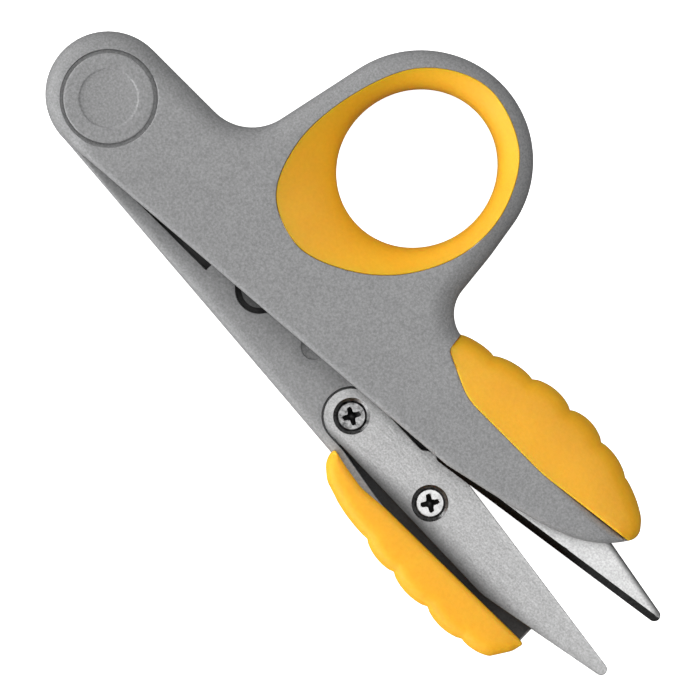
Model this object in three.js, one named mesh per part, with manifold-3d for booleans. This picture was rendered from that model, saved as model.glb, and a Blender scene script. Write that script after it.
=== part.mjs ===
// Thread snips: two moulded levers on one pivot, each carrying a screwed-on steel blade.
// Millimetres, +Z up. The origin is on the pivot axis at the underside, and +X points to the blade tips.
import * as THREE from 'three';
import { mergeVertices } from 'three/addons/utils/BufferGeometryUtils.js';
import Module from 'manifold-3d';

const wasm = await Module();
wasm.setup();

// Levels above the surface that the snips lie on
const TOP = 12;
const SHEAR_PLANE = 6; // where the two blades slide on each other
const LEVER_GAP = 0.1; // from the shear plane to either lever
const BLADE_GAP = 0.05; // from the shear plane to either blade
const PAD_TOP = 9.4; // top of the lower grip
const PAD_LIFT = 0.1; // from the levers' faces to the faces of the grips
const RING_PAD_UNDERCUT = 8; // underside of the ring lever's grip over the lower blade
const CHANNEL_FLOOR = 2;
const EDGE = 1.8; // rounding of the ring lever's edges
const LOWER_EDGE = 1.4; // rounding of the lower lever's edges
const PAD_EDGE = 0.9; // rounding of the soft grips
const FIT = 0.15; // gap between pieces moulded or let into each other
const BEYOND = 1; // how far a cut runs past the face it opens

// Hinge eye, shared by both levers
const EYE = { x: -0.62, y: 0.35, radius: 8.8 };
const EDGE_SLOPE = 4.6; // degrees that each lever's straight edge leans away from +X
const NOSE_START = 68.5; // where the ring lever's straight edge bends into its nose

// Pivot: barrel with a flat head, screw, two washers and a cap
const POST_RADIUS = 2.9;
const RUNNING_GAP = 0.06;
const HEAD_RADIUS = 5.4;
const HEAD_HEIGHT = 1;
const WASHER = 0.4; // height of the washer under the lower lever
const HUB_RADIUS = 4.3;
const HUB_GAP = 0.35; // from the shear plane to either hub
const SPRING_POCKET_RADIUS = 7.4;
const SPRING_POCKET_LOW = 2.8;
const SPRING_POCKET_HIGH = 8.8;
const CAP_RADIUS = 6.35;
const CAP_RECESS_RADIUS = 6.85;
const CAP_DEPTH = 1;
const PIVOT_HEAD_RADIUS = 3.4;
const PIVOT_HEAD_HEIGHT = 1.45;
const POST_TOP = 9.3;
const THREAD_RADIUS = 1.25;

// Return spring
const WIRE = 1.1;
const COIL_RADIUS = 5.75;
const COIL_TURNS = 3.5;
const COIL_START = 3.5; // height of the wire's centre on the lower leg
const COIL_RISE = 4.5;
const LOWER_LEG = 21;
const UPPER_LEG = 14;
const SPRING_SLOT = { end: 26.4, low: -7.4, high: -2.6 };

// Stop peg of the ring lever, which runs in a round pocket of the lower lever
const STOP = { x: 33.6, y: -4, radius: 3.42, floor: 3.4 };
const PEG_RADIUS = 1.5;
const PEG_TRAVEL = 3.66;
const PEG_CLEARANCE = 0.3;

// Shallow round mark that an ejector pin leaves in the lower lever
const EJECTOR_MARK = { x: 44.7, y: -4.3, radius: 1.8, depth: 0.25 };

// Blades: one shape, used face up on the lower lever and face down under the ring lever.
// In its own frame the rear screw is the origin, +X runs along the shank and +Y is the cutting side.
const BLADE = { thickness: 1.45, bevel: 1, edge: 0.25 };
const BLADE_CORNERS = [
  [-3.9, -3.9, 3.85],
  [30.7, -4.03, 8],
  [55.27, 1.2, 0.87],
  [12.83, 5.96, 0.5],
  [10.19, 3.85, 0.5],
  [-3.9, 3.9, 3.85],
];
const HEEL = [12.83, 5.96];
const CUTTING_SLOPE = -6.4;
const FRONT_SCREW = [16.44, -0.44];
const LOWER_BLADE = { x: 55.32, y: -7.44, turn: -1.5 };
const RING_BLADE = { x: 55.2, y: 2.17, turn: 1.8 };

// Blade screws: countersunk, Phillips
const SCREW = { head: 1.95, rim: 0.2, shank: 1.1, length: 4.6, sunk: 0.35, cross: 2.6, slot: 0.7 };
const COUNTERSINK_RADIUS = 2.6;
const SCREW_HOLE = { radius: 1.2, low: 1, high: 11 };
const SEAT_CLEARANCE = 0.2; // round each blade in its seat

// Finger ring
const HOLE = { x: 37.23, y: 23.61, long: 11.52, short: 10.88, turn: 81 };
const EGG = [
  [37.9, 38.45], [32.4, 37.3], [27.1, 32.9], [23.5, 23.6], [23.05, 14], [26.2, 6.8],
  [33.3, 4.05], [41.3, 7.06], [47, 12.5], [50.4, 20.2], [50.1, 27.8], [45.8, 35.2],
];
const RING_SIDES = 48;
const LINER_RIM = 5.88; // from the liner's middle plane to its rim
const LINER_LIP = 1.3; // from the liner's middle plane to the edge of its lip round the finger hole
const LINER_KEY = { low: 4.6, high: 7.4, reach: 0.35 };

const degrees = THREE.MathUtils.degToRad;

// ---- outlines ----

// Closed outline from corners [x, y, radius], each rounded by an arc.
function cornered(corners, step = 15) {
  const points = [];
  corners.forEach(([x, y, radius], i) => {
    const corner = new THREE.Vector2(x, y);
    const before = corners[(i + corners.length - 1) % corners.length];
    const after = corners[(i + 1) % corners.length];
    const back = new THREE.Vector2(before[0] - x, before[1] - y).normalize();
    const ahead = new THREE.Vector2(after[0] - x, after[1] - y).normalize();
    const turn = Math.PI - Math.acos(THREE.MathUtils.clamp(back.dot(ahead), -1, 1));
    if (!radius || turn < 1e-3) {
      points.push(corner);
      return;
    }
    const reach = radius * Math.tan(turn / 2);
    const inward = back.clone().add(ahead).setLength(radius / Math.cos(turn / 2));
    const middle = corner.clone().add(inward);
    const start = back.clone().multiplyScalar(reach).sub(inward);
    const side = Math.sign(ahead.cross(back));
    const pieces = Math.max(1, Math.ceil(turn / degrees(step)));
    for (let k = 0; k <= pieces; k++) {
      const spoke = start.clone().rotateAround(new THREE.Vector2(), side * turn * k / pieces);
      points.push(spoke.add(middle));
    }
  });
  return distinct(points);
}

// Leaves out points that fall on the one before them.
function distinct(points) {
  return points.filter((point, i) => point.distanceTo(points.at(i - 1)) > 0.12);
}

// Closed smooth curve through points [x, y].
function closedThrough(points, divisions) {
  const path = points.map(([x, y]) => new THREE.Vector3(x, y, 0));
  const curve = new THREE.CatmullRomCurve3(path, true, 'centripetal');
  return curve.getSpacedPoints(divisions).slice(0, -1).map(({ x, y }) => new THREE.Vector2(x, y));
}

// Corners along a row of bulges between valley points; rises gives each bulge's height over its chord.
function scallops(valleys, rises, pieces = 6) {
  const points = [];
  for (let i = 0; i + 1 < valleys.length; i++) {
    const from = new THREE.Vector2(...valleys[i]);
    const chord = new THREE.Vector2(...valleys[i + 1]).sub(from);
    const out = new THREE.Vector2(chord.y, -chord.x).normalize();
    for (let k = 0; k < pieces; k++) {
      const t = k / pieces;
      const rise = rises[i] * 4 * t * (1 - t);
      const point = from.clone().addScaledVector(chord, t).addScaledVector(out, rise);
      points.push([point.x, point.y, 0]);
    }
  }
  return [...points, [...valleys.at(-1), 0]];
}

function circle(x, y, radius, sides = 32) {
  return Array.from({ length: sides }, (_, i) => {
    const angle = 2 * Math.PI * i / sides;
    return new THREE.Vector2(x + radius * Math.cos(angle), y + radius * Math.sin(angle));
  });
}

// Moves an anticlockwise outline outwards by a distance, or inwards by a negative one.
function offset(outline, distance) {
  return outline.map((point, i) => {
    const before = outline[(i + outline.length - 1) % outline.length];
    const after = outline[(i + 1) % outline.length];
    const a = point.clone().sub(before).normalize();
    const b = after.clone().sub(point).normalize();
    const out = new THREE.Vector2(a.y + b.y, -a.x - b.x).normalize();
    const mitre = Math.max(0.5, out.x * a.y - out.y * a.x);
    return out.multiplyScalar(distance / mitre).add(point);
  });
}

// Carries an outline from a blade's frame to the snips' frame.
function placed(outline, { x, y, turn }, flipped) {
  const origin = new THREE.Vector2();
  const moved = outline.map((point) => new THREE.Vector2(point.x, flipped ? -point.y : point.y)
    .rotateAround(origin, degrees(turn)).add(new THREE.Vector2(x, y)));
  return flipped ? moved.reverse() : moved;
}

// ---- solids ----

function solid(geometry) {
  const bare = geometry.clone();
  bare.deleteAttribute('normal');
  bare.deleteAttribute('uv');
  const merged = mergeVertices(bare, 1e-5);
  return new wasm.Manifold(new wasm.Mesh({
    numProp: 3,
    vertProperties: Float32Array.from(merged.attributes.position.array),
    triVerts: Uint32Array.from(merged.index.array),
  }));
}

// Prism over an outline between two heights; rounding rounds its top and bottom edges.
function prism(outline, low, high, rounding = 0) {
  const geometry = new THREE.ExtrudeGeometry(new THREE.Shape(outline), {
    depth: high - low - 2 * rounding,
    bevelEnabled: rounding > 0,
    bevelThickness: rounding,
    bevelSize: rounding,
    bevelOffset: -rounding,
    bevelSegments: 3,
  });
  return solid(geometry.translate(0, 0, low + rounding));
}

// Solid of revolution about +Z from points [radius, height].
function turned(profile, sides = 32) {
  const points = profile.map(([radius, height]) => new THREE.Vector2(radius, height));
  return solid(new THREE.LatheGeometry(points, sides).rotateX(Math.PI / 2));
}

function rod(radius, low, high, x = 0, y = 0, sides = 32) {
  return prism(circle(x, y, radius, sides), low, high);
}

function eggOutline() {
  return closedThrough(EGG, RING_SIDES);
}

// Closed body round the finger hole. Its section runs through rings {mix, height}, inwards over the
// top and back outwards underneath; mix goes from 0 on the egg-shaped rim to 1 at the finger hole.
function ringBody(rings) {
  const count = RING_SIDES;
  const positions = [];
  for (const { mix, height } of rings) {
    for (const point of eggOutline()) {
      const inner = holePoint(Math.atan2(point.y - HOLE.y, point.x - HOLE.x));
      positions.push(
        THREE.MathUtils.lerp(point.x, inner.x, mix),
        THREE.MathUtils.lerp(point.y, inner.y, mix),
        height,
      );
    }
  }
  const index = [];
  const total = rings.length;
  for (let r = 0; r < total; r++) {
    for (let k = 0; k < count; k++) {
      const next = (k + 1) % count;
      const a = r * count + k;
      const b = r * count + next;
      const c = ((r + 1) % total) * count + k;
      const d = ((r + 1) % total) * count + next;
      index.push(a, b, d, a, d, c);
    }
  }
  const geometry = new THREE.BufferGeometry();
  geometry.setAttribute('position', new THREE.Float32BufferAttribute(positions, 3));
  geometry.setIndex(index);
  return solid(geometry);
}

// Point of the oval finger hole in a direction from its centre.
function holePoint(angle) {
  const local = angle - degrees(HOLE.turn);
  const radius = 1 / Math.hypot(Math.cos(local) / HOLE.long, Math.sin(local) / HOLE.short);
  return new THREE.Vector2(HOLE.x + radius * Math.cos(angle), HOLE.y + radius * Math.sin(angle));
}

function named(name, body, material) {
  const { vertProperties, triVerts } = body.getMesh();
  const geometry = new THREE.BufferGeometry();
  geometry.setAttribute('position', new THREE.Float32BufferAttribute(vertProperties, 3));
  geometry.setIndex(new THREE.Uint32BufferAttribute(triVerts, 1));
  geometry.computeVertexNormals();
  const mesh = new THREE.Mesh(geometry, material);
  mesh.name = name;
  return mesh;
}

// ---- materials ----

function greyPlastic() {
  return new THREE.MeshStandardMaterial({ color: 0x969696, roughness: 0.55, metalness: 0 });
}

function yellowRubber() {
  return new THREE.MeshStandardMaterial({ color: 0xf7bf2e, roughness: 0.65, metalness: 0 });
}

function bladeSteel() {
  return new THREE.MeshStandardMaterial({ color: 0xc4c4c4, roughness: 0.35, metalness: 0.9 });
}

function screwSteel() {
  return new THREE.MeshStandardMaterial({ color: 0xe0e0e0, roughness: 0.25, metalness: 1 });
}

function whiteNylon() {
  return new THREE.MeshStandardMaterial({ color: 0xe8e6de, roughness: 0.5, metalness: 0 });
}

function springSteel() {
  return new THREE.MeshStandardMaterial({ color: 0x9aa0a6, roughness: 0.3, metalness: 1 });
}

// ---- outlines of the moulded pieces ----

const slope = Math.tan(degrees(EDGE_SLOPE));
const eyeLeft = EYE.x - EYE.radius;
const eyeTop = EYE.y + EYE.radius;
const edgeAtEye = EYE.y - EYE.radius / Math.cos(degrees(EDGE_SLOPE));

// Height of the ring lever's straight lower edge, and of the lower lever's outer edge, at x.
const ringEdge = (x) => edgeAtEye + slope * (x - EYE.x);
const lowerEdge = (x) => edgeAtEye - slope * (x - EYE.x);

// The whole ring lever: straight edge, rounded nose, grip, bay, finger ring, neck and eye.
function ringLeverOutline() {
  const nose = new THREE.CubicBezierCurve(
    new THREE.Vector2(NOSE_START, ringEdge(NOSE_START)),
    new THREE.Vector2(79.4, 0.2),
    new THREE.Vector2(90.5, 0.5),
    new THREE.Vector2(95, 7.8),
  ).getPoints(10);
  const rest = cornered([
    [95, 7.8, 0],
    [92.5, 11.6, 3],
    [76, 14.2, 20],
    [54.2, 10.4, 5.2],
    [53.4, 22, 25],
    [50.5, 40.45, 15.4],
    [24.33, 40.45, 15.95],
    [17.67, eyeTop, 7.4],
    [eyeLeft, eyeTop, EYE.radius],
    [eyeLeft, ringEdge(eyeLeft), EYE.radius],
    [NOSE_START, ringEdge(NOSE_START), 0],
  ], 12);
  return [...nose, ...rest.slice(1, -1)];
}

// Part of the ring lever above the lower lever, which is cut to half its thickness.
function sweepOutline() {
  return cornered([
    [-12, -14, 0], [100, -14, 0], [100, 8.4, 0], [57, 8, 0], [53, 6.6, 0],
    [34, 6.4, 0], [22, 8.6, 2], [15.5, 14, 0], [-12, 14, 0],
  ]);
}

function ringGripOutline() {
  return cornered([
    ...scallops(
      [[94.3, 10.9], [88.4, 13.6], [82.6, 14.7], [76.3, 14.8], [69.5, 14.1], [63.4, 12.6], [58, 11.45]],
      [0.4, 0.6, 0.95, 0.95, 0.6, 0.4],
    ),
    [58.35, 8.75, 1.2],
    [65, 5.7, 9],
    [80, 5.7, 16],
    [94.95, 7.6, 0],
    [95.9, 8.5, 1],
  ]);
}

function ringGripCoreOutline() {
  return cornered([
    [62, 3.5, 0], [91.2, 5.2, 0], [92, 9.6, 1.5], [87, 11.6, 4], [80, 12.6, 8], [71, 12.1, 8], [62, 9.9, 2],
  ]);
}

function lowerLeverOutline() {
  return cornered([
    [eyeLeft, lowerEdge(eyeLeft), EYE.radius],
    [90, lowerEdge(90), 2],
    [94.4, -12.8, 0],
    [94.4, -6.6, 0],
    [70, -3.3, 3],
    [66, -2.4, 6],
    [45, -1.6, 30],
    [0.43, eyeTop, EYE.radius],
    [eyeLeft, eyeTop, EYE.radius],
  ]);
}

function lowerGripOutline() {
  return cornered([
    ...scallops(
      [[61.5, -17], [69, -18.05], [74.9, -18.7], [81.7, -18.8], [88.3, -18.6], [92.8, -17.5]],
      [0.35, 0.7, 0.8, 0.8, 0.45],
    ),
    [95, -13.1, 1],
    [67.5, -13.1, 8],
    [56.85, -12.4, 0],
    [57, -14.4, 2],
    [59.3, -16.3, 2],
  ]);
}

function lowerGripCoreOutline() {
  return cornered([
    [60.5, -12.4, 0], [61, -14.9, 1], [66, -16.2, 4], [80, -16.9, 0], [90, -16.4, 2], [92.2, -14.5, 1],
    [92.2, -12.4, 0],
  ]);
}

const bladeOutline = cornered(BLADE_CORNERS, 18);

// ---- pieces ----

const ringBladeSeat = placed(offset(bladeOutline, SEAT_CLEARANCE), RING_BLADE, true);
const lowerBladeSeat = placed(offset(bladeOutline, SEAT_CLEARANCE), LOWER_BLADE, false);
const seatDepth = BLADE.thickness + BLADE_GAP + 0.05;

function screwPlaces(blade, flipped) {
  return placed([new THREE.Vector2(0, 0), new THREE.Vector2(...FRONT_SCREW)], blade, flipped);
}

// Bores of the pivot and the spring's ring-shaped pocket between two heights.
function springPocket(low, high) {
  const hub = rod(HUB_RADIUS, low - BEYOND, high + BEYOND);
  return rod(SPRING_POCKET_RADIUS, low, high, 0, 0, 40).subtract(hub);
}

function ringGripCore(grow) {
  return prism(offset(ringGripCoreOutline(), grow), 1.6 - grow, 10.3 + grow);
}

function ringLever() {
  const bottom = SHEAR_PLANE + LEVER_GAP;
  const hubBottom = SHEAR_PLANE + HUB_GAP;
  let body = prism(ringLeverOutline(), 0, TOP, EDGE);
  body = body.subtract(prism(offset(ringGripOutline(), FIT), -BEYOND, TOP + BEYOND));
  body = body.add(ringGripCore(0));
  body = body.subtract(prism(ringBladeSeat, bottom - BEYOND, SHEAR_PLANE + seatDepth));
  body = body.subtract(prism(offset(eggOutline(), FIT), -BEYOND, TOP + BEYOND));
  body = body.add(linerKey(-0.2, 0));
  body = body.subtract(prism(sweepOutline(), -BEYOND, bottom));
  body = body.subtract(springPocket(bottom - BEYOND, SPRING_POCKET_HIGH));
  body = body.subtract(upperLegSlot());
  body = body.subtract(rod(HUB_RADIUS + 0.01, bottom - BEYOND, hubBottom));
  body = body.subtract(rod(POST_RADIUS + 0.03, 0, TOP));
  body = body.subtract(rod(PIVOT_HEAD_RADIUS + FIT, POST_TOP + 0.1, TOP + BEYOND));
  body = body.subtract(rod(CAP_RECESS_RADIUS, TOP - CAP_DEPTH, TOP + BEYOND, 0, 0, 48));
  for (const place of screwPlaces(RING_BLADE, true)) {
    body = body.subtract(rod(SCREW_HOLE.radius, bottom - BEYOND, SCREW_HOLE.high, place.x, place.y, 16));
  }
  const pegY = STOP.y + PEG_TRAVEL / 2;
  return body.add(rod(PEG_RADIUS, STOP.floor + PEG_CLEARANCE, bottom + BEYOND, STOP.x, pegY, 20));
}

// Slot under the ring lever for the spring's upper leg.
function upperLegSlot() {
  const outline = cornered([[0, 4.9, 0], [16.5, 4.9, 0.5], [16.5, 6.6, 0.5], [0, 6.6, 0]]);
  return prism(outline, SHEAR_PLANE, SPRING_POCKET_HIGH);
}

// Web of the ring lever that the liner is moulded over.
function linerKey(outside, grow) {
  const high = LINER_KEY.high + grow;
  const low = LINER_KEY.low - grow;
  const reach = LINER_KEY.reach + grow / 3;
  return ringBody([
    { mix: outside, height: high }, { mix: reach, height: high },
    { mix: reach, height: low }, { mix: outside, height: low },
  ]);
}

function ringLiner() {
  const middle = TOP / 2;
  const above = [
    { mix: 0, height: LINER_RIM }, { mix: 0.06, height: 5.72 }, { mix: 0.35, height: 4.94 },
    { mix: 0.7, height: 3.81 }, { mix: 0.93, height: 2.48 }, { mix: 1, height: LINER_LIP },
  ];
  const below = above.map(({ mix, height }) => ({ mix, height: -height })).reverse();
  const shape = [...above, ...below].map(({ mix, height }) => ({ mix, height: height + middle }));
  const body = ringBody(shape).subtract(linerKey(-0.4, FIT));
  return body.subtract(prism(sweepOutline(), -BEYOND, SHEAR_PLANE + LEVER_GAP));
}

function ringGrip() {
  let pad = prism(ringGripOutline(), PAD_LIFT, TOP + PAD_LIFT, PAD_EDGE);
  pad = pad.subtract(ringGripCore(FIT));
  return pad.subtract(prism(offset(sweepOutline(), FIT), -BEYOND, RING_PAD_UNDERCUT));
}

function lowerGripCore(grow) {
  return prism(offset(lowerGripCoreOutline(), grow), 1.4 - grow, 7.8 + grow);
}

// Channel between the lower blade's back and the wall behind the grip.
function channelOutline() {
  return cornered([
    [57.4, -11.3, 0], [67, -12.85, 0], [97, -12.75, 0], [97, -6, 0], [94, -9.7, 0],
    [86, -11.9, 4], [57.4, -11.1, 0],
  ]);
}

function lowerLever() {
  const top = SHEAR_PLANE - LEVER_GAP;
  let body = prism(lowerLeverOutline(), 0, top, LOWER_EDGE);
  body = body.subtract(prism(offset(lowerGripOutline(), FIT), -BEYOND, PAD_TOP));
  body = body.add(lowerGripCore(0));
  body = body.subtract(prism(channelOutline(), CHANNEL_FLOOR, PAD_TOP));
  body = body.subtract(prism(lowerBladeSeat, SHEAR_PLANE - seatDepth, PAD_TOP));
  const slot = SPRING_SLOT;
  const mark = EJECTOR_MARK;
  const slotOutline = cornered([
    [0, slot.low, 0], [slot.end, slot.low, 0], [slot.end, slot.high, 0], [0, slot.high, 0],
  ]);
  const legSlot = prism(slotOutline, SPRING_POCKET_LOW, TOP).subtract(rod(HUB_RADIUS, 0, TOP + BEYOND));
  body = body.subtract(springPocket(SPRING_POCKET_LOW, TOP)).subtract(legSlot);
  body = body.subtract(rod(HUB_RADIUS + 0.01, SHEAR_PLANE - HUB_GAP, TOP));
  body = body.subtract(rod(POST_RADIUS + RUNNING_GAP, -BEYOND, TOP, 0, 0, 48));
  body = body.subtract(rod(HEAD_RADIUS + 0.1, -BEYOND, HEAD_HEIGHT + WASHER + 0.1, 0, 0, 40));
  body = body.subtract(rod(STOP.radius, STOP.floor, TOP, STOP.x, STOP.y));
  body = body.subtract(rod(mark.radius, top - mark.depth, TOP, mark.x, mark.y, 20));
  for (const place of screwPlaces(LOWER_BLADE, false)) {
    body = body.subtract(rod(SCREW_HOLE.radius, SCREW_HOLE.low, TOP, place.x, place.y, 16));
  }
  return body;
}

function lowerGrip() {
  return prism(lowerGripOutline(), PAD_LIFT, PAD_TOP, PAD_EDGE).subtract(lowerGripCore(FIT));
}

// One blade with its flat face at z = 0 and its ground bevel underneath.
function blade() {
  let body = prism(bladeOutline, -BLADE.thickness, 0);
  const bevel = cornered([
    [-0.5, -BLADE.edge + 0.5, 0], [-0.5, -BLADE.thickness - 0.5, 0],
    [BLADE.bevel * 1.42, -BLADE.thickness - 0.5, 0],
  ]);
  const grind = new THREE.ExtrudeGeometry(new THREE.Shape(bevel), { depth: 50, bevelEnabled: false });
  grind.applyMatrix4(new THREE.Matrix4().makeBasis(
    new THREE.Vector3(0, -1, 0), new THREE.Vector3(0, 0, 1), new THREE.Vector3(-1, 0, 0)));
  grind.translate(48, 0, 0);
  grind.rotateZ(degrees(CUTTING_SLOPE)).translate(HEEL[0], HEEL[1], 0);
  body = body.subtract(solid(grind));
  for (const [x, y] of [[0, 0], FRONT_SCREW]) {
    const low = SCREW.shank + 0.15;
    const sink = turned([[0, -3], [low, -3], [low, -BLADE.thickness], [COUNTERSINK_RADIUS, 0],
      [COUNTERSINK_RADIUS, 1], [0, 1]], 32).translate([x, y, 0]);
    body = body.subtract(sink);
  }
  return body;
}

// Screw with the top of its head at z = 0.
function bladeScrew() {
  const { head, rim, shank, length, cross, slot } = SCREW;
  const neck = BLADE.thickness - SCREW.sunk;
  const body = turned([
    [0, -length], [0.35, -length], [shank, -length + 0.9], [shank, -neck], [head, -rim],
    [head - 0.12, 0], [0, 0.06],
  ], 28);
  const arm = (turn) => solid(new THREE.BoxGeometry(cross, slot, 1.4).rotateZ(degrees(turn)));
  return body.subtract(arm(58).add(arm(148)));
}

function pivotBarrel() {
  const hole = 3;
  return turned([
    [0, 0], [HEAD_RADIUS - 0.2, 0], [HEAD_RADIUS, 0.2], [HEAD_RADIUS, HEAD_HEIGHT],
    [POST_RADIUS, HEAD_HEIGHT], [POST_RADIUS, POST_TOP], [THREAD_RADIUS + 0.05, POST_TOP],
    [THREAD_RADIUS + 0.05, hole], [0, hole],
  ], 48);
}

function pivotScrew() {
  const low = POST_TOP + 0.15;
  const body = turned([
    [0, 4], [THREAD_RADIUS - 0.3, 4], [THREAD_RADIUS - 0.05, 4.4], [THREAD_RADIUS - 0.05, low],
    [PIVOT_HEAD_RADIUS, low], [PIVOT_HEAD_RADIUS, low + PIVOT_HEAD_HEIGHT - 0.3],
    [PIVOT_HEAD_RADIUS - 0.4, low + PIVOT_HEAD_HEIGHT], [0, low + PIVOT_HEAD_HEIGHT],
  ]);
  const arm = (turn) => solid(new THREE.BoxGeometry(3.6, 0.9, 1.6).rotateZ(degrees(turn)))
    .translate([0, 0, low + PIVOT_HEAD_HEIGHT]);
  return body.subtract(arm(0).add(arm(90)));
}

function washer(inner, outer, low, high) {
  return turned([[inner, low], [outer, low], [outer, high], [inner, high], [inner, low]]);
}

// Plain round cap with a raised ring round its middle.
function pivotCap() {
  const low = TOP - CAP_DEPTH + 0.05;
  return turned([
    [0, low], [CAP_RADIUS, low], [CAP_RADIUS, TOP - 0.25], [CAP_RADIUS - 0.3, TOP - 0.02],
    [3.9, TOP - 0.02], [3.7, TOP - 0.3], [0, TOP - 0.3],
  ], 48);
}

// Torsion spring: lower leg, coil round the hubs and upper leg.
function returnSpring() {
  const points = [];
  const lean = degrees(7);
  for (let k = 4; k >= 1; k--) {
    const along = LOWER_LEG * k / 4;
    points.push(new THREE.Vector3(along * Math.cos(lean), -COIL_RADIUS + along * Math.sin(lean), COIL_START));
  }
  const perTurn = 12;
  const stations = COIL_TURNS * perTurn;
  for (let k = 0; k <= stations; k++) {
    const angle = -Math.PI / 2 - 2 * Math.PI * k / perTurn;
    const height = COIL_START + COIL_RISE * k / stations;
    points.push(new THREE.Vector3(COIL_RADIUS * Math.cos(angle), COIL_RADIUS * Math.sin(angle), height));
  }
  for (let k = 1; k <= 3; k++) {
    points.push(new THREE.Vector3(UPPER_LEG * k / 3, COIL_RADIUS, COIL_START + COIL_RISE));
  }
  const path = new THREE.CatmullRomCurve3(points);
  const section = new THREE.Shape(circle(0, 0, WIRE / 2, 8));
  return solid(new THREE.ExtrudeGeometry(section, { steps: 90, extrudePath: path, bevelEnabled: false }));
}

// ---- assembly ----

// Group that stands in a blade's frame on its shear face; the ring blade's is turned face down.
function bladeFrame({ x, y, turn }, flipped) {
  const frame = new THREE.Group();
  frame.position.set(x, y, SHEAR_PLANE + (flipped ? BLADE_GAP : -BLADE_GAP));
  frame.rotation.z = degrees(turn);
  const face = new THREE.Group();
  face.rotation.x = flipped ? Math.PI : 0;
  frame.add(face);
  return { frame, face };
}

function bladeSet(prefix, place, flipped) {
  const { frame, face } = bladeFrame(place, flipped);
  face.add(named(`${prefix}_blade`, blade(), bladeSteel()));
  const screws = { rear: [0, 0], front: FRONT_SCREW };
  for (const [end, [x, y]] of Object.entries(screws)) {
    const screw = named(`${prefix}_blade_screw_${end}`, bladeScrew(), screwSteel());
    screw.position.set(x, y, -SCREW.sunk);
    face.add(screw);
  }
  return frame;
}

const snips = new THREE.Group();
snips.add(
  named('ring_lever', ringLever(), greyPlastic()),
  named('ring_liner', ringLiner(), yellowRubber()),
  named('ring_lever_grip', ringGrip(), yellowRubber()),
  bladeSet('ring', RING_BLADE, true),
  named('lower_lever', lowerLever(), greyPlastic()),
  named('lower_lever_grip', lowerGrip(), yellowRubber()),
  bladeSet('lower', LOWER_BLADE, false),
  named('pivot_barrel', pivotBarrel(), screwSteel()),
  named('pivot_screw', pivotScrew(), screwSteel()),
  named('pivot_cap', pivotCap(), greyPlastic()),
  named('thrust_washer', washer(POST_RADIUS + 0.05, 4.2, 5.7, 6.3), whiteNylon()),
  named('lower_thrust_washer', washer(POST_RADIUS + 0.05, 5.2, 1.05, 1.05 + WASHER), whiteNylon()),
  named('return_spring', returnSpring(), springSteel()),
);

export default snips;
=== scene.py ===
import math
import bpy
import numpy as np
from mathutils import Matrix, Vector
from mathutils.geometry import delaunay_2d_cdt


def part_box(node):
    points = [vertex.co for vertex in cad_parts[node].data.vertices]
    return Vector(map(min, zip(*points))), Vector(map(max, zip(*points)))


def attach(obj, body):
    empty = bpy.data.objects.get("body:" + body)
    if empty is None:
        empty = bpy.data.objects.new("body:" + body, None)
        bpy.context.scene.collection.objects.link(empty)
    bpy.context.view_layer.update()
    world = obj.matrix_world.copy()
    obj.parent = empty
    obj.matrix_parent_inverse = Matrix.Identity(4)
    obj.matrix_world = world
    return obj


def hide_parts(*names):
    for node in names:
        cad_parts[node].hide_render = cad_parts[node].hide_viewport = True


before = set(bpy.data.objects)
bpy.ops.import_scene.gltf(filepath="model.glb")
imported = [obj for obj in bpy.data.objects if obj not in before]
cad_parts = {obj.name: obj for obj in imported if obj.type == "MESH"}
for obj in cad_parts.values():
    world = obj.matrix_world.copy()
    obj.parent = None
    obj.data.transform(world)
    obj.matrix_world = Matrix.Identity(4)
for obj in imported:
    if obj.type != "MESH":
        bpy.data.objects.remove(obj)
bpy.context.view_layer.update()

MM = 0.001


def low(node):
    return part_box(node)[0] / MM


def high(node):
    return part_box(node)[1] / MM


def middle(node):
    corner_a, corner_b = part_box(node)
    return (corner_a + corner_b) / 2 / MM


# ---- driving dimensions ----

# Levels and places that the frame gives
TOP = high("ring_lever").z
SHEAR_PLANE = (high("lower_blade").z + low("ring_blade").z) / 2
LEVER_GAP = 0.1  # from the shear plane to either lever
LOWER_TOP = SHEAR_PLANE - LEVER_GAP
RING_SHEAR = SHEAR_PLANE + LEVER_GAP
LOWER_PAD_TOP = high("lower_lever_grip").z
RING_PAD_TOP = high("ring_lever_grip").z
PAD_LOW = low("ring_lever_grip").z
CAP_RADIUS = (high("pivot_cap").x - low("pivot_cap").x) / 2
EYE_RADIUS = 8.8
EYE = (low("ring_lever").x + EYE_RADIUS, 0.35)
EYE_TOP = EYE[1] + EYE_RADIUS
EYE_LEFT = EYE[0] - EYE_RADIUS
EDGE_SLOPE = math.tan(math.radians(4.6))  # of each lever's straight edge against the x axis
EDGE_AT_EYE = EYE[1] - EYE_RADIUS * math.hypot(1, EDGE_SLOPE)

FIT = 0.03  # gap between pieces let into each other
WALL = 0.04  # plan width of a steep wall
ARC_STEP = math.radians(5)
SHALLOW = 0.25  # depth of the shallow recesses

# How far in the edges are rounded
OUTER = 3.4  # ring lever's outer edges
LOWER_OUTER = 1.9  # lower lever's outer edges
CRISP = 0.9  # ring lever's edge where the levers part
COVERED = 0.4  # lower lever's edges under the ring lever
NOSE_ROUNDING = 2.6
SEAM = 0.22  # the levers' edges along the rubber
PAD_SEAM = 0.25  # the ring lever grip's edge along its lever
PAD_ROUNDING = 2.2  # the grips' scalloped edges

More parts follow.
